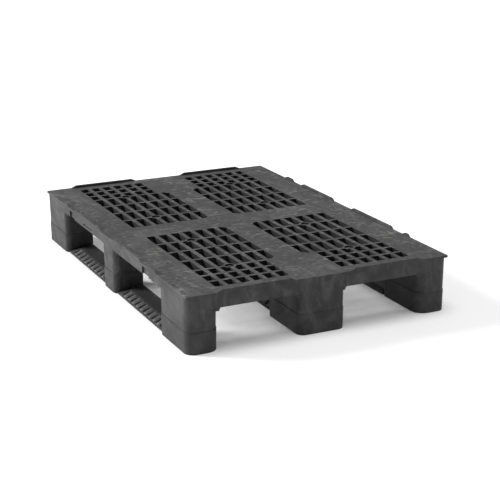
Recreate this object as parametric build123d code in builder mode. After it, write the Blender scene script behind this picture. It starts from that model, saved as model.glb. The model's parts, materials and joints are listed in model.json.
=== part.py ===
from build123d import *
import os

# A three-runner plastic pallet for racking and forklift handling. X runs along the runners, Y runs
# across them and +Z is up. The origin is on the ground, at the middle of the footprint.
#
# The deck, with the upper halves of its nine legs, is one compression moulding. Each runner, with
# the lower halves of three legs and the boards between them, is another. The mouldings meet at a
# seam part-way up the legs, locate on a tongue inside each leg, and are held by screws driven up
# from the feet.

# ---------------------------------------------------------------------------------------------
# Overall sizes, in millimetres
# ---------------------------------------------------------------------------------------------
pallet_length = 1200.0
pallet_width = 800.0
deck_height = 163.0
seam_height = 60.0
edge_overhang = 0.5

# Legs: plan sizes at their widest, walls and draft
end_leg_length = 195.5
centre_leg_length = 106.0
side_leg_width = 96.0
middle_leg_width = 145.0
leg_wall = 7.0
leg_corner_radius = 20.0
outer_corner_radius = 28.0
fork_corner_radius = 38.0
middle_corner_radius = 24.0
upper_draft = 0.9
lower_draft = 0.8

# Deck: skin, rims and aprons
skin = 6.0
skin_corner_radius = 5.0
skin_edge_radius = 2.0
rib_bottom = 124.0
short_apron_bottom = 121.0
long_apron_bottom = 135.0
apron_wall = 9.0
apron_overrun = 5.0
apron_corner_radius = 12.0
gusset_bite = 15.0
gusset_setback = 8.0
gusset_depth = 30.0
joint_recess = 5.0
front_joint_end = 71.0
front_joint_width = 48.0
rear_joint_end = 49.0
rear_joint_width = 45.0
rim_height = 7.0
rim_width = 9.0
rim_inset = 2.0
rim_end_inset = 12.0
long_rim_slope = 10.0
short_rim_offset = 10.0
short_rim_slope = 16.0

# Deck grid: four fields of slots, which end short of the legs under the solid bands. The wide
# columns lie between the legs and the narrow ones between the end legs.
end_band = 45.5
inner_margin = 7.5
outer_margin = 5.5
column_margin = 2.0
inner_row_start = 43.5
cross_bar = 10.0
long_bar = 13.0
wide_columns = 4
narrow_columns = 3
slot_rows = 6
slot_corner_chamfer = 14.0
grid_draft = 3.5
field_wall = 8.5
rib = 4.0

# Moulded gate bosses on the grid
gate_diameter = 36.0
gate_dish_diameter = 27.0
gate_dish_depth = 5.0
gate_nub_diameter = 7.0
gate_nub_height = 3.0

# Runner boards and their ramps
board_thickness = 18.0
board_setback = 8.8
board_inner_setback = 2.0
board_toe = 4.0
ramp_width = 34.0
middle_board_width = 104.0
middle_ramp_width = 26.0
inner_edge_chamfer = 6.0
ramp_hip = 25.0
ramp_hip_overrun = 12.0
ramp_slot_width = 9.0
ramp_slot_tip_width = 3.0
ramp_slot_pitch = 32.0
ramp_slot_margin = 6.0
ramp_end_margin = 18.0
board_pocket_depth = 11.0
board_pocket_length = 46.0
board_pocket_gap = 7.0
board_frame = 9.0
foot_plate = 8.0
lower_web_drop = 8.0

# Tongue, bosses and screws
tongue_height = 8.0
tongue_wall = 3.0
tongue_clearance = 0.6
boss_diameter = 24.0
boss_gap_x = 11.4
boss_gap_y = 1.4
boss_relief = 0.3
screw_seat = 38.0
head_diameter = 13.0
head_height = 5.0
head_clearance = 1.0
shank_diameter = 6.0
shank_clearance = 0.3
screw_length = 62.0
screw_tip_diameter = 1.5
socket_across_flats = 5.5
socket_depth = 3.0
pilot_clearance = 0.02
pilot_spare = 4.0

# Label slot in each long apron
label_slot_length = 76.0
label_slot_height = 7.0
label_slot_rise = 7.0
label_slot_depth = 2.5

# ---------------------------------------------------------------------------------------------
# Places worked out from the sizes
# ---------------------------------------------------------------------------------------------
skin_bottom = deck_height - skin
end_face = pallet_length / 2 - edge_overhang
side_face = pallet_width / 2 - edge_overhang
end_leg_inner = end_face - end_leg_length
end_leg_centre = end_face - end_leg_length / 2
centre_leg_end = centre_leg_length / 2
side_leg_inner = side_face - side_leg_width
side_leg_centre = side_face - side_leg_width / 2
middle_leg_side = middle_leg_width / 2
cup_wall = leg_wall + tongue_clearance + tongue_wall
screw_inset_x = cup_wall + boss_gap_x + boss_diameter / 2
screw_inset_y = cup_wall + boss_gap_y + boss_diameter / 2
opening_length = end_leg_inner - centre_leg_end
opening_centre = (end_leg_inner + centre_leg_end) / 2

field_start = centre_leg_end + column_margin
wide_end = end_leg_inner - column_margin
field_end = pallet_length / 2 - end_band
field_inner = middle_leg_side + inner_margin
field_outer = side_leg_inner - outer_margin
wide_slot = (wide_end - field_start - (wide_columns - 1) * cross_bar) / wide_columns
narrow_slot = (field_end - wide_end - narrow_columns * cross_bar) / narrow_columns
slot_width = (field_outer - field_inner - (slot_rows - 1) * long_bar) / slot_rows
inner_slot_width = field_inner - long_bar - inner_row_start

column_lengths = [wide_slot] * wide_columns + [narrow_slot] * narrow_columns
column_centres = []
column_edge = field_start
for column_length in column_lengths:
    column_centres.append(column_edge + column_length / 2)
    column_edge += column_length + cross_bar
row_pitch = slot_width + long_bar
row_centres = [field_inner + slot_width / 2 + row * row_pitch for row in range(slot_rows)]
cross_bars = [x + (length + cross_bar) / 2 for x, length in zip(column_centres, column_lengths)]
long_bars = [y + row_pitch / 2 for y in row_centres[:-1]]

signs = (-1, 1)
quadrants = [(sx, sy) for sx in signs for sy in signs]

# Every leg: its runner, its place, its plan size and which way its free corner points
side_of_runner = {"left": 1, "middle": 0, "right": -1}
place_of_leg = {"front": 1, "centre": 0, "rear": -1}
legs = []
for runner_name, side in side_of_runner.items():
    for place_name, end in place_of_leg.items():
        legs.append(
            {
                "runner": runner_name,
                "place": place_name,
                "end": end,
                "side": side,
                "x": end * end_leg_centre,
                "y": side * side_leg_centre,
                "length": end_leg_length if end else centre_leg_length,
                "width": side_leg_width if side else middle_leg_width,
            }
        )


def screw_places(leg):
    """Centres of the screws in one leg: four in an end leg, two in a centre leg."""
    reach_y = leg["width"] / 2 - screw_inset_y
    if leg["end"]:
        reach_x = leg["length"] / 2 - screw_inset_x
        return [(leg["x"] + sx * reach_x, leg["y"] + sy * reach_y) for sx, sy in quadrants]
    if leg["side"]:
        reach_x = leg["length"] / 2 - screw_inset_y
        return [(leg["x"] + sx * reach_x, leg["y"]) for sx in signs]
    return [(leg["x"], leg["y"] + sy * reach_y) for sy in signs]


all_screws = [place for leg in legs for place in screw_places(leg)]


def corner_radius(leg, corner_x, corner_y):
    """Radius of one corner of a leg: rounder at the end faces, and most where forks go in."""
    if leg["end"] * corner_x <= 0:
        return leg_corner_radius
    if leg["side"] == 0:
        return middle_corner_radius
    return outer_corner_radius if leg["side"] * corner_y > 0 else fork_corner_radius


def leg_plan(leg, inset):
    """Plan outline of a leg, drawn inset from its widest size, with its four corners rounded."""
    reach_x = leg["length"] / 2 - inset
    reach_y = leg["width"] / 2 - inset
    with BuildSketch(mode=Mode.PRIVATE) as plan:
        Rectangle(2 * reach_x, 2 * reach_y)
        for sx, sy in quadrants:
            corner = plan.vertices().sort_by_distance((sx * reach_x, sy * reach_y))[0]
            fillet(corner, radius=corner_radius(leg, sx, sy) - inset)
    return plan.sketch.moved(Location((leg["x"], leg["y"])))


def draw_legs(some_legs, inset=0.0):
    """Draw the plan outlines of these legs in the open sketch."""
    for leg in some_legs:
        add(leg_plan(leg, inset))


def draw_leg_rings(some_legs, inset, wall):
    """Draw the legs' outlines as rings of the given wall, the outside inset from the widest size."""
    for leg in some_legs:
        add(leg_plan(leg, inset))
        add(leg_plan(leg, inset + wall), mode=Mode.SUBTRACT)


def draw_leg_ribs(some_legs, wall):
    """Draw a web through every screw boss, from wall to wall of its leg, both ways."""
    for leg in some_legs:
        for x, y in screw_places(leg):
            with Locations((x, leg["y"])):
                Rectangle(rib, leg["width"] - 2 * wall + rib)
            with Locations((leg["x"], y)):
                Rectangle(leg["length"] - 2 * wall + rib, rib)


def draw_slots():
    """Draw every slot of the full rows in the four grid fields."""
    for sx, sy in quadrants:
        for x, length in zip(column_centres, column_lengths):
            for y in row_centres:
                with Locations((sx * x, sy * y)):
                    Rectangle(length, slot_width)


def draw_inner_rows():
    """Draw the short rows of wide slots beside the centre band, with their end corners cut."""
    inner_y = inner_row_start
    outer_y = inner_row_start + inner_slot_width
    for column in range(wide_columns):
        near = column_centres[column] - wide_slot / 2
        far = near + wide_slot
        cut_near = slot_corner_chamfer if column == 0 else 0.0
        cut_far = slot_corner_chamfer if column == wide_columns - 1 else 0.0
        outline = [(near, outer_y), (far, outer_y), (far, inner_y + cut_far)]
        outline += [(far - cut_far, inner_y)] if cut_far else []
        outline += [(near + cut_near, inner_y)]
        outline += [(near, inner_y + cut_near)] if cut_near else []
        for sx, sy in quadrants:
            Polygon(*[(sx * x, sy * y) for x, y in outline], align=None)


def draw_apron(start, end, bottom):
    """Draw an apron, which runs on over the rounded corners of the legs beside its opening."""
    with Locations(((start + end) / 2, (bottom + skin_bottom) / 2)):
        Rectangle(abs(end - start), skin_bottom - bottom)


def draw_gussets(centre, length, bottom):
    """Draw the rounded gussets that fill the two upper corners of an opening."""
    with Locations((centre, bottom - apron_corner_radius / 2)):
        Rectangle(length + 2 * gusset_bite, apron_corner_radius)
    with Locations((centre, bottom - 2 * apron_corner_radius)):
        RectangleRounded(length, 4 * apron_corner_radius, apron_corner_radius, mode=Mode.SUBTRACT)


def draw_hips():
    """Draw the side view of what is cut from a board where its ramps run out beside the legs."""
    for end in signs:
        for leg_face, way in ((centre_leg_end, 1), (end_leg_inner, -1)):
            root = leg_face - way * leg_wall / 2
            outline = [(root, board_thickness), (root, board_toe), (leg_face, board_toe)]
            outline += [(leg_face + way * ramp_hip, board_thickness)]
            Polygon(*[(end * x, z) for x, z in outline], align=None)


def draw_ramp_slot(toe_side, width):
    """Draw a slot of a ramp, which narrows from its toe to its crest."""
    toe_y = toe_side * (width / 2 - ramp_slot_margin)
    toe_x = ramp_slot_width / 2
    tip_x = ramp_slot_tip_width / 2
    Polygon((-toe_x, toe_y), (toe_x, toe_y), (tip_x, -toe_y), (-tip_x, -toe_y), align=None)


def draw_rim(start, end, slope):
    """Draw the side view of a raised rim standing on the deck, with sloping ends."""
    root = deck_height - skin / 2
    top = deck_height + rim_height
    outline = [(start, root), (start, deck_height), (start + slope, top)]
    outline += [(end - slope, top), (end, deck_height), (end, root)]
    Polygon(*outline, align=None)


# Long-side aprons, as they lie on the side where Y is negative. The other long side is the same,
# turned by half a turn. Each apron is two panels, each with a rim, and a recessed joint between them.
front_joint = (end_leg_inner - front_joint_end - front_joint_width, end_leg_inner - front_joint_end)
rear_joint = (rear_joint_end - end_leg_inner, rear_joint_end + rear_joint_width - end_leg_inner)
joints = (front_joint, rear_joint)
panels = (
    (-end_leg_inner, rear_joint[0]),
    (rear_joint[1], -centre_leg_end),
    (centre_leg_end, front_joint[0]),
    (front_joint[1], end_leg_inner),
)
long_rims = [(start + rim_inset, end - rim_end_inset) for start, end in panels]
short_apron = (
    middle_leg_side - middle_corner_radius - apron_overrun,
    side_leg_inner + fork_corner_radius + apron_overrun,
)
long_apron = (
    centre_leg_end - leg_corner_radius - apron_overrun,
    end_leg_inner + leg_corner_radius + apron_overrun,
)
short_rim = (middle_leg_side + short_rim_offset, side_leg_inner + short_rim_offset)
label_panel = panels[1]
label_slot_x = (label_panel[0] + label_panel[1]) / 2
label_slot_z = long_apron_bottom + label_slot_rise + label_slot_height / 2

# ---------------------------------------------------------------------------------------------
# Deck: skin, grid, bands, aprons, rims and the upper halves of the nine legs
# ---------------------------------------------------------------------------------------------
upper_height = skin_bottom - seam_height
tongue_top = seam_height + tongue_height
upper_rib_bottom = tongue_top + tongue_clearance
field_length = field_end - field_start + 2 * field_wall
field_width = field_outer - field_inner + 2 * field_wall
field_x = (field_start + field_end) / 2
field_y = (field_inner + field_outer) / 2
inner_row_length = wide_end - field_start + 2 * field_wall
inner_row_x = (field_start + wide_end) / 2
inner_row_depth = field_inner - inner_row_start
opening_width = side_leg_inner - middle_leg_side
opening_y = (side_leg_inner + middle_leg_side) / 2
gate_columns = (cross_bars[0], cross_bars[wide_columns - 1])
gate_row = long_bars[len(long_bars) // 2]
gates = [(sx * x, sy * gate_row) for sx, sy in quadrants for x in gate_columns]
screw_tip = screw_seat + screw_length

with BuildPart() as deck:
    # Upper half legs, drafted so that they narrow towards the seam, then hollowed
    with BuildSketch(Plane.XY.offset(skin_bottom)):
        draw_legs(legs)
    extrude(amount=-upper_height, taper=upper_draft)
    with BuildSketch(Plane.XY.offset(seam_height)):
        draw_legs(legs, leg_wall)
    extrude(amount=upper_height, mode=Mode.SUBTRACT)

    # Skin, rounded along its top edge
    with BuildSketch(Plane.XY.offset(skin_bottom)):
        RectangleRounded(pallet_length, pallet_width, skin_corner_radius)
    extrude(amount=skin)
    fillet(deck.edges(Select.LAST).group_by(Axis.Z)[-1], radius=skin_edge_radius)

    # Slabs that the grid slots are cut through
    with BuildSketch(Plane.XY.offset(rib_bottom)):
        for sx, sy in quadrants:
            with Locations((sx * field_x, sy * field_y)):
                Rectangle(field_length, field_width)
            with Locations((sx * inner_row_x, sy * (inner_row_start + inner_row_depth / 2))):
                Rectangle(inner_row_length, inner_row_depth + 2 * field_wall)
    extrude(amount=skin_bottom - rib_bottom)

    # Webs under the solid bands, lined up with the bars of the grid
    with BuildSketch(Plane.XY.offset(long_apron_bottom)):
        for sx, sy in quadrants:
            for x in cross_bars[:wide_columns]:
                with Locations((sx * x, sy * (field_outer + side_face) / 2)):
                    Rectangle(rib, side_face - field_outer - 2 * apron_wall)
                with Locations((sx * x, 0)):
                    Rectangle(rib, 2 * inner_row_start)
            for y in long_bars:
                with Locations((sx * field_start / 2, sy * y)):
                    Rectangle(field_start, rib)
                with Locations((sx * (field_end + end_face) / 2, sy * y)):
                    Rectangle(end_face - field_end - apron_wall, rib)
        with Locations((0, side_leg_centre), (0, -side_leg_centre), (0, 0)):
            Rectangle(2 * end_leg_inner + rib, rib)
        Rectangle(rib, 2 * side_leg_inner)
    extrude(amount=skin_bottom - long_apron_bottom)

    # Short-side aprons, flush with the end faces of the legs
    for end in signs:
        with BuildSketch(Plane.YZ.offset(end * end_face)):
            for side in signs:
                draw_apron(side * short_apron[0], side * short_apron[1], short_apron_bottom)
        extrude(amount=-end * apron_wall)
        with BuildSketch(Plane.YZ.offset(end * (end_face - gusset_setback))):
            for side in signs:
                draw_gussets(side * opening_y, opening_width, short_apron_bottom)
        extrude(amount=-end * gusset_depth)

    # Long-side aprons: a set-back wall all along, and panels flush with the legs, but for the joints
    for side in signs:
        with BuildSketch(Plane.XZ.offset(-side * (side_face - joint_recess))):
            for end in signs:
                draw_apron(end * long_apron[0], end * long_apron[1], long_apron_bottom)
        extrude(amount=side * apron_wall)
        with BuildSketch(Plane.XZ.offset(-side * side_face)):
            for end in signs:
                draw_apron(end * long_apron[0], end * long_apron[1], long_apron_bottom)
            for start, stop in joints:
                with Locations((-side * (start + stop) / 2, deck_height)):
                    Rectangle(stop - start, 2 * deck_height, mode=Mode.SUBTRACT)
        extrude(amount=side * joint_recess)
        with BuildSketch(Plane.XZ.offset(-side * (side_face - gusset_setback))):
            for end in signs:
                draw_gussets(end * opening_centre, opening_length, long_apron_bottom)
        extrude(amount=side * gusset_depth)

    # Webs and screw bosses inside the legs
    with BuildSketch(Plane.XY.offset(upper_rib_bottom)):
        draw_leg_ribs(legs, leg_wall)
    extrude(amount=skin_bottom - upper_rib_bottom)
    with BuildSketch(Plane.XY.offset(seam_height)):
        with Locations(all_screws):
            Circle(boss_diameter / 2)
    extrude(amount=upper_height)

    # Grid slots, drafted so that the bars grow thinner downwards
    with BuildSketch(Plane.XY.offset(deck_height)):
        draw_slots()
        draw_inner_rows()
    extrude(amount=rib_bottom - deck_height, taper=-grid_draft, mode=Mode.SUBTRACT)

    # Gate bosses where bars cross: a dished ring with a nub in it
    with BuildSketch(Plane.XY.offset(rib_bottom)):
        with Locations(gates):
            Circle(gate_diameter / 2)
    extrude(amount=deck_height - rib_bottom)
    with BuildSketch(Plane.XY.offset(deck_height)):
        with Locations(gates):
            Circle(gate_dish_diameter / 2)
            Circle(gate_nub_diameter / 2, mode=Mode.SUBTRACT)
    extrude(amount=-gate_dish_depth, mode=Mode.SUBTRACT)
    with BuildSketch(Plane.XY.offset(deck_height)):
        with Locations(gates):
            Circle(gate_nub_diameter / 2)
    extrude(amount=gate_nub_height - gate_dish_depth, mode=Mode.SUBTRACT)

    # Raised rims round the edge
    for side in signs:
        with BuildSketch(Plane.XZ.offset(-side * pallet_width / 2)):
            for start, end in long_rims:
                draw_rim(*sorted((-side * start, -side * end)), long_rim_slope)
        extrude(amount=side * rim_width)
    for end in signs:
        with BuildSketch(Plane.YZ.offset(end * pallet_length / 2)):
            for side in signs:
                draw_rim(*sorted(side * y for y in short_rim), short_rim_slope)
        extrude(amount=-end * rim_width)

    # Label slot in one panel of each long apron, and pilot holes for the screws
    for side in signs:
        with BuildSketch(Plane.XZ.offset(-side * side_face)):
            with Locations((-side * label_slot_x, label_slot_z)):
                Rectangle(label_slot_length, label_slot_height)
        extrude(amount=side * label_slot_depth, mode=Mode.SUBTRACT)
    with BuildSketch(Plane.XY.offset(seam_height)):
        with Locations(all_screws):
            Circle(shank_diameter / 2 + pilot_clearance)
    extrude(amount=screw_tip + pilot_spare - seam_height, mode=Mode.SUBTRACT)
os.makedirs("parts", exist_ok=True)
deck.part.label = "deck"
export_step(deck.part, "parts/deck.step")

# ---------------------------------------------------------------------------------------------
# Runners: boards with ramped edges, and the lower halves of three legs each
# ---------------------------------------------------------------------------------------------
board_end = end_leg_inner + leg_wall / 2
slots_per_opening = int((opening_length - 2 * ramp_end_margin) // ramp_slot_pitch) + 1
pocket_pitch = board_pocket_length + board_pocket_gap
pockets_per_opening = int((opening_length - board_pocket_gap) // pocket_pitch)

for runner_name, side in side_of_runner.items():
    runner_legs = [leg for leg in legs if leg["runner"] == runner_name]
    runner_screws = [place for leg in runner_legs for place in screw_places(leg)]

    # Cross-section of the board, outer edge first, and where its ramps and pockets lie
    if side:
        outer = side_face - board_setback
        inner = side_leg_inner + board_inner_setback
        section = [
            (outer, 0.0),
            (outer, board_toe),
            (outer - ramp_width, board_thickness),
            (inner + inner_edge_chamfer, board_thickness),
            (inner, board_thickness - inner_edge_chamfer),
            (inner, 0.0),
        ]
        section = [(side * y, z) for y, z in section]
        ramps = [(side, side * (outer - ramp_width / 2), ramp_width)]
        pocket_width = outer - ramp_width - inner - 2 * board_frame
        pocket_y = side * (outer - ramp_width + inner) / 2
    else:
        half = middle_board_width / 2
        section = [
            (-half, 0.0),
            (-half, board_toe),
            (middle_ramp_width - half, board_thickness),
            (half - middle_ramp_width, board_thickness),
            (half, board_toe),
            (half, 0.0),
        ]
        ramps = [(sign, sign * (half - middle_ramp_width / 2), middle_ramp_width) for sign in signs]
        pocket_width = middle_board_width - 2 * middle_ramp_width - 2 * board_frame
        pocket_y = 0.0

    with BuildPart() as runner:
        # Board, with hips where its ramps run out beside the legs
        with BuildSketch(Plane.YZ.offset(-board_end)):
            with BuildLine():
                Polyline(section, close=True)
            make_face()
        extrude(amount=2 * board_end)
        for toe_side, ramp_y, width in ramps:
            with BuildSketch(Plane.XZ.offset(toe_side * ramp_hip_overrun / 2 - ramp_y)):
                draw_hips()
            extrude(amount=(width + ramp_hip_overrun) / 2, both=True, mode=Mode.SUBTRACT)

        # Cups, drafted so that they narrow towards the ground
        with BuildSketch(Plane.XY.offset(seam_height)):
            draw_legs(runner_legs)
        extrude(amount=-seam_height, taper=lower_draft)

        # Hollow of the cups, with pillars and webs in it, and the tongues that locate the deck
        with BuildSketch(Plane.XY.offset(foot_plate)):
            draw_legs(runner_legs, cup_wall)
        extrude(amount=seam_height - foot_plate, mode=Mode.SUBTRACT)
        with BuildSketch(Plane.XY.offset(foot_plate)):
            draw_leg_ribs(runner_legs, cup_wall)
        extrude(amount=seam_height - lower_web_drop - foot_plate)
        with BuildSketch(Plane.XY.offset(foot_plate)):
            with Locations(runner_screws):
                Circle(boss_diameter / 2)
        extrude(amount=seam_height - foot_plate)
        with BuildSketch(Plane.XY.offset(seam_height)):
            draw_leg_rings(runner_legs, leg_wall + tongue_clearance, tongue_wall)
            with Locations(runner_screws):
                Circle(boss_diameter / 2 + boss_relief, mode=Mode.SUBTRACT)
        extrude(amount=tongue_height)

        # Counterbores and clearance holes for the screws
        with Locations([(x, y, 0.0) for x, y in runner_screws]):
            with Locations(Rotation(180, 0, 0)):
                CounterBoreHole(
                    radius=shank_diameter / 2 + shank_clearance,
                    counter_bore_radius=head_diameter / 2 + head_clearance,
                    counter_bore_depth=screw_seat,
                    depth=seam_height,
                )

        # Slots through the ramps, widest at the toe, and pockets under the flat of the board
        with BuildSketch():
            for end in signs:
                for toe_side, ramp_y, width in ramps:
                    with Locations((end * opening_centre, ramp_y)):
                        with GridLocations(ramp_slot_pitch, 1, slots_per_opening, 1):
                            draw_ramp_slot(toe_side, width)
        extrude(amount=board_thickness, mode=Mode.SUBTRACT)
        with BuildSketch():
            for end in signs:
                with Locations((end * opening_centre, pocket_y)):
                    with GridLocations(pocket_pitch, 1, pockets_per_opening, 1):
                        Rectangle(board_pocket_length, pocket_width)
        extrude(amount=board_pocket_depth, mode=Mode.SUBTRACT)
    runner.part.label = f"runner_{runner_name}"
    export_step(runner.part, f"parts/runner_{runner_name}.step")

# ---------------------------------------------------------------------------------------------
# Screws: one node for each leg, holding that leg's screws as separate solids
# ---------------------------------------------------------------------------------------------
screw_point = shank_diameter
for leg in legs:
    with BuildPart() as screws:
        with BuildSketch(Plane.XY.offset(screw_seat - head_height)):
            with Locations(screw_places(leg)):
                Circle(head_diameter / 2)
        extrude(amount=head_height)
        with BuildSketch(Plane.XY.offset(screw_seat)):
            with Locations(screw_places(leg)):
                Circle(shank_diameter / 2)
        extrude(amount=screw_length - screw_point)
        with Locations([(x, y, screw_tip - screw_point / 2) for x, y in screw_places(leg)]):
            Cone(shank_diameter / 2, screw_tip_diameter / 2, screw_point)
        with BuildSketch(Plane.XY.offset(screw_seat - head_height)):
            with Locations(screw_places(leg)):
                RegularPolygon(socket_across_flats / 2, 6, major_radius=False)
        extrude(amount=socket_depth, mode=Mode.SUBTRACT)
    screws.part.label = f"screws_{leg['runner']}_{leg['place']}"
    export_step(screws.part, f"parts/{screws.part.label}.step")
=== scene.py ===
import json
import math

import bmesh
import bpy
from mathutils import Matrix, Vector


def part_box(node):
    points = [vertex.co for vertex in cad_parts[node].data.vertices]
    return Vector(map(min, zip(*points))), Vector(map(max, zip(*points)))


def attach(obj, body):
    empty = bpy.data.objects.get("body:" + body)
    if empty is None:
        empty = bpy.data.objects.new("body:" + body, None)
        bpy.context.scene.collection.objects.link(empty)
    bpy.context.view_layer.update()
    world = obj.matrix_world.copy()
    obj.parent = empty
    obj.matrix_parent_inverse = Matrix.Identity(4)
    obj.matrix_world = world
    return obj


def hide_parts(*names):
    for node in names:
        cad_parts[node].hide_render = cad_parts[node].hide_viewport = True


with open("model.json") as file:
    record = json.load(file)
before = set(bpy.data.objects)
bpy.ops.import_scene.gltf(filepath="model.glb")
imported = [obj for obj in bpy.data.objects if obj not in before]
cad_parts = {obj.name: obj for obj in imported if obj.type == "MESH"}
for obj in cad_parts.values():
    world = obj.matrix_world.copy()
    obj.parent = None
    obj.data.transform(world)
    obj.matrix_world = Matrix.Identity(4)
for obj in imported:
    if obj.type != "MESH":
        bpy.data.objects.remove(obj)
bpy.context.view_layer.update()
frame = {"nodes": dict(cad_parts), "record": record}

# ---------------------------------------------------------------------------------------------
# Deck: one compression moulding of recycled polyolefin, with the grid, the aprons, the rims and
# the upper halves of the nine legs. The melt leaves flow marks on it. Handling rubs its edges pale,
# and the pale edges also carry a painted highlight; the walls inside the grid are painted dark as
# painted shade. It lies upside down on the bench while the runners are set on it.
# ---------------------------------------------------------------------------------------------
DECK_EDGE_ROUND = 0.0012
MERGE_DISTANCE = 2e-6
FLAT_ANGLE = math.radians(0.5)
EDGE_ANGLE = math.radians(28)
DECK_GREY = 0.030
DECK_PALE = 0.125
# Edge colours: paler for wear from handling, and also as a painted highlight on the edges.
DECK_EDGE_GREY = 0.050
DECK_EDGE_PALE = 0.150
# Walls inside the grid: painted shade, near black for the shade in the deep grid.
GRID_SHADE_GREY = 0.010
GRID_SHADE_PALE = 0.018
GRID_REACH_X = 0.556
GRID_REACH_Y = 0.300
GRID_DEPTH = 0.050


class Finish:
    """Builds one material's nodes, a line for each node."""

    def __init__(self, name):
        self.material = bpy.data.materials.new(name)
        self.material.use_nodes = True
        self.tree = self.material.node_tree
        self.tree.nodes.clear()
        where = self.add("ShaderNodeTexCoord")
        self.place = where.outputs["Object"]
        self.normal = where.outputs["Normal"]

    def add(self, kind, settings=(), **inputs):
        """Add a node with these settings, and link or set its inputs by name."""
        node = self.tree.nodes.new(kind)
        for key, value in dict(settings).items():
            setattr(node, key, value)
        for key, value in inputs.items():
            self.feed(node.inputs[key.replace("_", " ")], value)
        return node

    def feed(self, socket, value):
        if isinstance(value, bpy.types.NodeSocket):
            self.tree.links.new(value, socket)
        else:
            socket.default_value = value

    def stretched(self, scale, turn=(0.0, 0.0, 0.0)):
        """Object coordinates, turned and scaled by a different amount along each axis."""
        node = self.add("ShaderNodeMapping", Vector=self.place, Scale=scale, Rotation=turn)
        return node.outputs["Vector"]

    def noise(self, where, scale, detail=4.0, roughness=0.55, distortion=0.0):
        node = self.add("ShaderNodeTexNoise", Vector=where, Scale=scale, Detail=detail,
                        Roughness=roughness, Distortion=distortion)
        return node.outputs["Fac"]

    def spread(self, value, low, high, to_low=0.0, to_high=1.0):
        """Stretch the part of a value between low and high over a new range, with soft ends."""
        node = self.add("ShaderNodeMapRange", {"interpolation_type": "SMOOTHSTEP"}, Value=value)
        names = ("From Min", "From Max", "To Min", "To Max")
        for name, number in zip(names, (low, high, to_low, to_high)):
            node.inputs[name].default_value = number
        return node.outputs["Result"]

    def combine(self, operation, a, b):
        """Add, multiply or compare two values."""
        node = self.add("ShaderNodeMath", {"operation": operation})
        self.feed(node.inputs[0], a)
        self.feed(node.inputs[1], b)
        return node.outputs[0]

    def blend(self, amount, a, b):
        """Mix two colours."""
        node = self.add("ShaderNodeMix", {"data_type": "RGBA"})
        for socket, value in zip((0, 6, 7), (amount, a, b)):
            self.feed(node.inputs[socket], value)
        return node.outputs[2]

    def bump(self, height, distance, strength, under=None):
        node = self.add("ShaderNodeBump", Height=height, Distance=distance, Strength=strength)
        if under is not None:
            self.feed(node.inputs["Normal"], under)
        return node.outputs["Normal"]

    def surface(self, **inputs):
        """End the material in one surface shader with these inputs."""
        shader = self.add("ShaderNodeBsdfPrincipled", **inputs)
        self.add("ShaderNodeOutputMaterial", Surface=shader.outputs["BSDF"])
        return self.material


def grey(level, warmth=0.0):
    """A near-neutral colour in linear light, with a touch of warmth."""
    return (level * (1 + warmth), level, level * (1 - warmth), 1.0)


def recycled_plastic(name, dark, pale, scuffs, rub_and_highlight=0.0):
    """Recycled plastic. The melt swirls between the greys dark and pale, scuffs says how strongly
    drag marks and scratches show, most of all on what faces up, and the last argument how much paler
    the surface is made, partly for polish from handling and partly as a painted highlight. Faces
    that don't face up get a painted shade, a little darker than the top."""
    s = Finish(name)
    up = s.spread(s.add("ShaderNodeSeparateXYZ", Vector=s.normal).outputs["Z"], 0.2, 0.9)
    worn = s.spread(up, 0.0, 1.0, 0.22 * scuffs, scuffs)
    swirl = s.noise(s.stretched((2.4, 6.0, 3.4)), 1.7, detail=6.0, roughness=0.6, distortion=2.8)
    cloud = s.noise(s.stretched((3.0, 4.5, 4.0)), 1.0, detail=3.0)
    drag = s.noise(s.stretched((34.0, 12.0, 9.0), (0.0, 0.0, 0.5)), 1.0, detail=6.0, distortion=3.4)
    scrape = s.noise(s.stretched((10.0, 60.0, 60.0), (0.0, 0.0, -0.6)), 1.0, detail=4.0, distortion=2.2)
    patch = s.noise(s.place, 14.0, detail=3.0)
    speck = s.noise(s.place, 380.0, detail=2.0)
    flow = s.combine("MULTIPLY", s.spread(swirl, 0.40, 0.64), s.spread(cloud, 0.35, 0.70))
    marks = s.combine("MULTIPLY", s.spread(drag, 0.50, 0.76), worn)
    lines = s.combine("MULTIPLY", s.spread(scrape, 0.56, 0.72), s.spread(patch, 0.48, 0.62))
    tone = s.combine("ADD", s.combine("MULTIPLY", flow, 0.30), marks)
    scratches = s.combine("MULTIPLY", s.combine("MULTIPLY", lines, 0.8), worn)
    dots = s.combine("MULTIPLY", s.spread(speck, 0.64, 0.80), 0.16)
    tone = s.combine("ADD", s.combine("ADD", tone, scratches), dots)
    # Paler by the last argument: wear from handling, and on edges and ridges a painted highlight too.
    tone = s.combine("MINIMUM", s.combine("ADD", tone, rub_and_highlight), 1.3)
    # Painted shade: faces that don't face up are painted a little darker than the top.
    painted_shade = s.blend(up, grey(dark * 0.84, 0.004), grey(dark, 0.004))
    colour = s.blend(tone, painted_shade, grey(pale, 0.010))
    rough = s.spread(swirl, 0.3, 0.7, 0.68, 0.54)
    grain = s.bump(s.noise(s.place, 900.0, detail=2.0), 0.00025, 0.22)
    ripple = s.bump(swirl, 0.0012, 0.35, under=grain)
    finish = {"Base Color": colour, "Roughness": rough, "Normal": ripple, "Specular IOR Level": 0.32}
    return s.surface(**finish)


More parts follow.
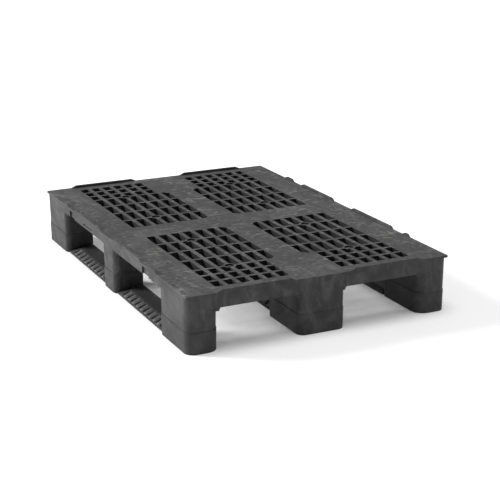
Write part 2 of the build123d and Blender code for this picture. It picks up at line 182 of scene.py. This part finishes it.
def rounded_moulding(node, edge_round, materials, shaded_wall=None):
    """A moulding's own mesh with its doubles merged, flat faces cleaned up and edges rounded. The
    edges take the second material, and the faces that the last argument picks out take the third,
    which is painted shade."""
    mesh = bpy.data.meshes.new(node + "_moulding")
    for material in materials:
        mesh.materials.append(material)
    shape = bmesh.new()
    shape.from_mesh(frame["nodes"][node].data)
    bmesh.ops.remove_doubles(shape, verts=shape.verts, dist=MERGE_DISTANCE)
    bmesh.ops.dissolve_limit(shape, angle_limit=FLAT_ANGLE, verts=shape.verts, edges=shape.edges)
    for face in shape.faces:
        face.smooth = True
        face.material_index = 2 if shaded_wall and shaded_wall(face) else 0
    shape.to_mesh(mesh)
    shape.free()
    piece = bpy.data.objects.new(node + "_moulding", mesh)
    bpy.context.scene.collection.objects.link(piece)
    bevel = piece.modifiers.new("edges", "BEVEL")
    bevel.width = edge_round
    bevel.segments = 2
    bevel.limit_method = "ANGLE"
    bevel.angle_limit = EDGE_ANGLE
    bevel.material = 1
    weighted = piece.modifiers.new("shading", "WEIGHTED_NORMAL")
    weighted.weight = 80
    baked = bpy.data.meshes.new_from_object(piece.evaluated_get(bpy.context.evaluated_depsgraph_get()))
    piece.modifiers.clear()
    piece.data = baked
    return piece


def is_grid_wall(face):
    """Whether a face is a wall inside the grid, where no light and no handling reaches, so it gets
    painted shade.
    """
    middle = face.calc_center_median()
    inside = abs(middle.x) < GRID_REACH_X and abs(middle.y) < GRID_REACH_Y
    return inside and middle.z > grid_bottom and abs(face.normal.z) < 0.5


grid_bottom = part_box("deck")[1][2] - GRID_DEPTH
deck_plastic = recycled_plastic("deck_plastic", DECK_GREY, DECK_PALE, 0.9)
# The deck's edge material is paler for wear and also as a painted highlight.
deck_edges = recycled_plastic("deck_edges", DECK_EDGE_GREY, DECK_EDGE_PALE, 0.6, rub_and_highlight=0.15)
# Painted shade: the walls inside the grid are painted near black.
grid_wall_shade = recycled_plastic("grid_wall_shade", GRID_SHADE_GREY, GRID_SHADE_PALE, 0.3)
deck = rounded_moulding("deck", DECK_EDGE_ROUND, (deck_plastic, deck_edges, grid_wall_shade), is_grid_wall)
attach(deck, "root")
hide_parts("deck")

# ---------------------------------------------------------------------------------------------
# Runners: three long mouldings of the same recycled plastic, which the pallet stands on. Each has
# the lower halves of three legs and two boards between them, whose ramps let truck wheels roll
# over. A tongue inside each leg half locates them on the deck.
# ---------------------------------------------------------------------------------------------
RUNNER_EDGE_ROUND = 0.0012
RUNNER_GREY = 0.026
RUNNER_PALE = 0.085
# Edge colours: paler for wear from handling, and also as a painted highlight on the edges.
RUNNER_EDGE_GREY = 0.050
RUNNER_EDGE_PALE = 0.160

runner_plastic = recycled_plastic("runner_plastic", RUNNER_GREY, RUNNER_PALE, 0.6)
# The runners' edge material is paler for wear and also as a painted highlight.
runner_edges = recycled_plastic("runner_edges", RUNNER_EDGE_GREY, RUNNER_EDGE_PALE, 0.7, rub_and_highlight=0.2)
for side in ("left", "middle", "right"):
    runner = rounded_moulding("runner_" + side, RUNNER_EDGE_ROUND, (runner_plastic, runner_edges))
    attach(runner, "root")
    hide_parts("runner_" + side)

# ---------------------------------------------------------------------------------------------
# Grip ridges: low ridges moulded on the boards' ramps, one between each two slots, of the same
# recycled plastic as the runners. Truck wheels climb over them and rub their crests pale, and the
# pale colour also stands in for a painted highlight.
# ---------------------------------------------------------------------------------------------
TOE_SETBACK = 0.0093
TOE_HEIGHT = 0.004
RAMP_CREST = 0.018
SIDE_RAMP_WIDTH = 0.034
MIDDLE_RAMP_WIDTH = 0.026
MIDDLE_BOARD_WIDTH = 0.104
RIDGE_PITCH = 0.032
RIDGES = 9
RIDGE_WIDTH = 0.017
RIDGE_CREST_WIDTH = 0.007
RIDGE_HEIGHT = 0.0026
RIDGE_SINK = 0.001
RIDGE_REACH = 0.86
RIDGE_LIFT = 0.00001
RIDGE_RINGS = ((0.0, 0.0, 0.5), (0.12, 0.9, 1.0), (0.80, 1.0, 1.0), (1.0, 0.0, 0.35))


def copies_tree(name, material):
    """Nodes that set a copy of a piece on each place, turned as the place's facing says, and by
    chance about its own axis up to the most turn."""
    tree = bpy.data.node_groups.new(name, "GeometryNodeTree")
    inputs = {"Places": "Geometry", "Piece": "Object", "Most Turn": "Float", "Seed": "Int"}
    for socket, kind in inputs.items():
        tree.interface.new_socket(socket, in_out="INPUT", socket_type="NodeSocket" + kind)
    tree.interface.new_socket("Copies", in_out="OUTPUT", socket_type="NodeSocketGeometry")
    given = tree.nodes.new("NodeGroupInput")
    result = tree.nodes.new("NodeGroupOutput")
    piece = tree.nodes.new("GeometryNodeObjectInfo")
    stored = {}
    for attribute in ("facing", "size"):
        stored[attribute] = tree.nodes.new("GeometryNodeInputNamedAttribute")
        stored[attribute].data_type = "FLOAT_VECTOR"
        stored[attribute].inputs["Name"].default_value = attribute
    chance = tree.nodes.new("FunctionNodeRandomValue")
    chance.data_type = "FLOAT"
    axis = tree.nodes.new("ShaderNodeCombineXYZ")
    turn = tree.nodes.new("ShaderNodeVectorMath")
    place = tree.nodes.new("GeometryNodeInstanceOnPoints")
    real = tree.nodes.new("GeometryNodeRealizeInstances")
    coat = tree.nodes.new("GeometryNodeSetMaterial")
    coat.inputs["Material"].default_value = material
    most = next(socket for socket in chance.inputs if socket.name == "Max" and socket.type == "VALUE")
    value = next(socket for socket in chance.outputs if socket.type == "VALUE")
    for start, end in (
        (given.outputs["Piece"], piece.inputs["Object"]),
        (given.outputs["Most Turn"], most),
        (given.outputs["Seed"], chance.inputs["Seed"]),
        (value, axis.inputs["Z"]),
        (axis.outputs["Vector"], turn.inputs[0]),
        (stored["facing"].outputs["Attribute"], turn.inputs[1]),
        (given.outputs["Places"], place.inputs["Points"]),
        (piece.outputs["Geometry"], place.inputs["Instance"]),
        (turn.outputs["Vector"], place.inputs["Rotation"]),
        (stored["size"].outputs["Attribute"], place.inputs["Scale"]),
        (place.outputs["Instances"], real.inputs["Geometry"]),
        (real.outputs["Geometry"], coat.inputs["Geometry"]),
        (coat.outputs["Geometry"], result.inputs["Copies"]),
    ):
        tree.links.new(start, end)
    return tree


def set_copies(name, places, piece, material, most_turn=0.0, seed=0):
    """Set a piece on each place, a point with its facing and size, and bake it all as one mesh."""
    mesh = bpy.data.meshes.new(name)
    mesh.from_pydata([point for point, _, _ in places], [], [])
    for attribute, part in (("facing", 1), ("size", 2)):
        layer = mesh.attributes.new(attribute, "FLOAT_VECTOR", "POINT")
        for number, place in enumerate(places):
            layer.data[number].vector = place[part]
    copies = bpy.data.objects.new(name, mesh)
    bpy.context.scene.collection.objects.link(copies)
    setter = copies.modifiers.new("set", "NODES")
    setter.node_group = copies_tree("set_" + name, material)
    sockets = {item.name: item.identifier for item in setter.node_group.interface.items_tree}
    setter[sockets["Piece"]] = piece
    setter[sockets["Most Turn"]] = most_turn
    setter[sockets["Seed"]] = seed
    baked = bpy.data.meshes.new_from_object(copies.evaluated_get(bpy.context.evaluated_depsgraph_get()))
    copies.modifiers.clear()
    copies.data = baked
    bpy.data.objects.remove(piece)
    return copies


def one_ridge():
    """A closed ridge one unit long that stands on the ramp at its toe and runs up it."""
    shape = bmesh.new()
    rings = []
    for along, height, shrink in RIDGE_RINGS:
        base = RIDGE_WIDTH / 2 * shrink
        crest = RIDGE_CREST_WIDTH / 2 * shrink
        top = RIDGE_HEIGHT * height + RIDGE_LIFT
        outline = [(-base, -RIDGE_SINK), (-base, 0.0), (-crest, top)]
        outline += [(crest, top), (base, 0.0), (base, -RIDGE_SINK)]
        rings.append([shape.verts.new((x, along, z)) for x, z in outline])
    for lower, upper in zip(rings, rings[1:]):
        for step in range(len(lower)):
            after = (step + 1) % len(lower)
            shape.faces.new((lower[step], lower[after], upper[after], upper[step]))
    shape.faces.new(rings[0])
    shape.faces.new(rings[-1])
    bmesh.ops.recalc_face_normals(shape, faces=shape.faces)
    mesh = bpy.data.meshes.new("one_ridge")
    shape.to_mesh(mesh)
    shape.free()
    return bpy.data.objects.new("one_ridge", mesh)


def ridge_places():
    """Where each ridge starts at its ramp's toe, which way it climbs, and how long it is."""
    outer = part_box("runner_left")[1][1] - TOE_SETBACK
    ramps = [(outer, 1, SIDE_RAMP_WIDTH), (-outer, -1, SIDE_RAMP_WIDTH)]
    ramps += [(way * MIDDLE_BOARD_WIDTH / 2, way, MIDDLE_RAMP_WIDTH) for way in (1, -1)]
    openings = frame["record"]["physics"]["openings"]
    pockets = [box["box_m"] for box in openings if box["name"].startswith("side_")]
    places = []
    for low, high in pockets:
        middle = (low[0] + high[0]) / 2
        for toe, way, width in ramps:
            climb = RAMP_CREST - TOE_HEIGHT
            facing = (math.atan2(climb, width), 0.0, math.pi if way > 0 else 0.0)
            length = math.hypot(width, climb)
            start = toe - way * width * (1 - RIDGE_REACH) / 2
            height = TOE_HEIGHT + climb * (1 - RIDGE_REACH) / 2
            for number in range(RIDGES):
                x = middle + (number - (RIDGES - 1) / 2) * RIDGE_PITCH
                places.append(((x, start, height), facing, (1.0, length * RIDGE_REACH, 1.0)))
    return places


# The ridges take the runners' edge colour, pale for wear and also as a painted highlight.
ridges = set_copies("grip_ridges", ridge_places(), one_ridge(), runner_edges)
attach(ridges, "root")

# ---------------------------------------------------------------------------------------------
# Screws: thirty zinc-plated steel screws with flat heads and hexagon sockets, driven up from the
# counterbores in the feet into the deck's bosses. They are rolled from wire, and their ridged
# shanks bite the plastic.
# ---------------------------------------------------------------------------------------------
SCREW_HEAD_RADIUS = 0.0065
SCREW_HEAD_HEIGHT = 0.005
SCREW_SHANK_RADIUS = 0.003
SCREW_ROOT_RADIUS = 0.0024
SCREW_TIP_RADIUS = 0.00075
SCREW_POINT = 0.006
SCREW_PLAIN = 0.008
SCREW_PITCH = 0.003
VALLEY_START = 0.3
VALLEY_END = 0.7
SOCKET_FLATS = 0.0055
SOCKET_DEPTH = 0.003
SCREW_CHAMFER = 0.0005
SCREW_SIDES = 24
SCREW_TURN_SEED = 7


def screw_rings(length):
    """Radius and height of each ring of a screw, from its seat. No radius means the socket."""
    rings = [(None, SOCKET_DEPTH - SCREW_HEAD_HEIGHT), (None, -SCREW_HEAD_HEIGHT)]
    rings += [(SCREW_HEAD_RADIUS - SCREW_CHAMFER, -SCREW_HEAD_HEIGHT)]
    rings += [(SCREW_HEAD_RADIUS, SCREW_CHAMFER - SCREW_HEAD_HEIGHT), (SCREW_HEAD_RADIUS, -SCREW_CHAMFER)]
    rings += [(SCREW_HEAD_RADIUS - SCREW_CHAMFER, 0.0), (SCREW_SHANK_RADIUS, 0.0)]
    height = SCREW_PLAIN
    while height + SCREW_PITCH < length - SCREW_POINT:
        rings += [(SCREW_SHANK_RADIUS, height), (SCREW_ROOT_RADIUS, height + SCREW_PITCH * VALLEY_START)]
        rings += [(SCREW_ROOT_RADIUS, height + SCREW_PITCH * VALLEY_END)]
        height += SCREW_PITCH
    return rings + [(SCREW_SHANK_RADIUS, length - SCREW_POINT), (SCREW_TIP_RADIUS, length)]


def one_screw(length):
    """A closed mesh of one screw that stands on its seat at the origin, with its head below."""
    shape = bmesh.new()
    loops = []
    for radius, height in screw_rings(length):
        loop = []
        for step in range(SCREW_SIDES):
            angle = math.tau * step / SCREW_SIDES
            flat = (angle % (math.pi / 3)) - math.pi / 6
            reach = radius or SOCKET_FLATS / 2 / math.cos(flat)
            point = (reach * math.cos(angle), reach * math.sin(angle), height)
            loop.append(shape.verts.new(point))
        loops.append(loop)
    for lower, upper in zip(loops, loops[1:]):
        for step in range(SCREW_SIDES):
            after = (step + 1) % SCREW_SIDES
            shape.faces.new((lower[step], lower[after], upper[after], upper[step]))
    shape.faces.new(loops[0])
    shape.faces.new(loops[-1])
    bmesh.ops.recalc_face_normals(shape, faces=shape.faces)
    mesh = bpy.data.meshes.new("one_screw")
    shape.to_mesh(mesh)
    shape.free()
    return bpy.data.objects.new("one_screw", mesh)


def screw_seats():
    """Where each screw's head bears on its runner, from the corners of each screw group's box."""
    seats = []
    for node in screw_nodes:
        low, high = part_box(node)
        along, across = (
            sorted({round(low[i] + SCREW_HEAD_RADIUS, 5), round(high[i] - SCREW_HEAD_RADIUS, 5)})
            for i in (0, 1)
        )
        seats += [(x, y, low[2] + SCREW_HEAD_HEIGHT) for x in along for y in across]
    return seats


def zinc_plate():
    """Bright zinc on steel, brushed by the driver and clouded where it has dulled."""
    s = Finish("zinc_plate")
    cloud = s.noise(s.place, 260.0, detail=4.0)
    brushed = s.noise(s.stretched((900.0, 900.0, 90.0)), 1.0, detail=3.0)
    dull = s.spread(cloud, 0.42, 0.68)
    colour = s.blend(dull, (0.60, 0.61, 0.60, 1.0), (0.40, 0.40, 0.37, 1.0))
    rough = s.spread(cloud, 0.3, 0.7, 0.28, 0.52)
    return s.surface(**{"Base Color": colour, "Metallic": 1.0, "Roughness": rough,
                        "Normal": s.bump(brushed, 0.0001, 0.3)})


screw_nodes = sorted(node for node in frame["nodes"] if node.startswith("screws_"))
screw_low, screw_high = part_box(screw_nodes[0])
screw = one_screw(screw_high[2] - screw_low[2] - SCREW_HEAD_HEIGHT)
seats = [(seat, (0.0, 0.0, 0.0), (1.0, 1.0, 1.0)) for seat in screw_seats()]
screws = set_copies("screws", seats, screw, zinc_plate(), most_turn=math.tau, seed=SCREW_TURN_SEED)
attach(screws, "root")
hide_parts(*screw_nodes)

# ---------------------------------------------------------------------------------------------
# Studio floor: a wide pale sheet that glows a little, so that shadows stay faint on it. It lies a
# hair under the feet, and isn't part of the pallet.
# ---------------------------------------------------------------------------------------------
FLOOR_SIZE = 60.0
FLOOR_WHITE = 0.80
FLOOR_GLOW = 0.08
FLOOR_DROP = 0.0005

half = FLOOR_SIZE / 2
floor_mesh = bpy.data.meshes.new("floor")
corners = [(x * half, y * half, -FLOOR_DROP) for x, y in ((-1, -1), (1, -1), (1, 1), (-1, 1))]
floor_mesh.from_pydata(corners, [], [(0, 1, 2, 3)])
floor = bpy.data.objects.new("floor", floor_mesh)
bpy.context.scene.collection.objects.link(floor)
floor_finish = Finish("floor_paint")
floor_mesh.materials.append(floor_finish.surface(**{
    "Base Color": grey(FLOOR_WHITE), "Roughness": 0.9, "Specular IOR Level": 0.1,
    "Emission Color": grey(1.0), "Emission Strength": FLOOR_GLOW}))

# ---------------------------------------------------------------------------------------------
# Studio light: a big soft key, low on the far left, a soft light overhead, and a pale room round
# it all. The short side that faces the camera gets only what the floor and the room give back.
# ---------------------------------------------------------------------------------------------
KEY_HEADING = math.radians(-132.0)
KEY_ELEVATION = math.radians(25.0)
KEY_STRENGTH = 4.5
KEY_SPREAD = math.radians(24.0)
OVERHEAD_ELEVATION = math.radians(89.0)
OVERHEAD_STRENGTH = 2.3
OVERHEAD_SPREAD = math.radians(40.0)
ROOM_STRENGTH = 0.33


def soft_sun(name, heading, elevation, strength, spread):
    """A wide, even light from far off, which comes from this heading and elevation."""
    lamp = bpy.data.lights.new(name, "SUN")
    lamp.energy = strength
    lamp.angle = spread
    light = bpy.data.objects.new(name, lamp)
    ground = math.cos(elevation)
    source = Vector((ground * math.cos(heading), ground * math.sin(heading), math.sin(elevation)))
    light.matrix_world = source.to_track_quat("Z", "Y").to_matrix().to_4x4()
    bpy.context.scene.collection.objects.link(light)


soft_sun("key_light", KEY_HEADING, KEY_ELEVATION, KEY_STRENGTH, KEY_SPREAD)
soft_sun("overhead_light", 0.0, OVERHEAD_ELEVATION, OVERHEAD_STRENGTH, OVERHEAD_SPREAD)

world = bpy.data.worlds.new("studio")
world.use_nodes = True
world.node_tree.nodes["Background"].inputs["Color"].default_value = (1, 1, 1, 1)
world.node_tree.nodes["Background"].inputs["Strength"].default_value = ROOM_STRENGTH
bpy.context.scene.world = world

# ---------------------------------------------------------------------------------------------
# Camera: a long lens, a little under three pallet lengths from the near corner, looking down on it
# ---------------------------------------------------------------------------------------------
CAMERA_PLACE = (3.45693, -1.58656, 1.25890)
CAMERA_HEADING = math.radians(64.415)
CAMERA_TILT = math.radians(72.586)
CAMERA_ROLL = math.radians(-0.3112)
CAMERA_LENS = 92.34

camera = bpy.data.objects.new("camera", bpy.data.cameras.new("camera"))
camera.data.lens = CAMERA_LENS
camera.data.clip_end = 100.0
turned = Matrix.Rotation(CAMERA_HEADING, 4, "Z") @ Matrix.Rotation(CAMERA_TILT, 4, "X")
camera.matrix_world = Matrix.Translation(CAMERA_PLACE) @ turned @ Matrix.Rotation(CAMERA_ROLL, 4, "Z")
bpy.context.scene.collection.objects.link(camera)
bpy.context.scene.camera = camera
bpy.context.scene.view_settings.view_transform = "Standard"
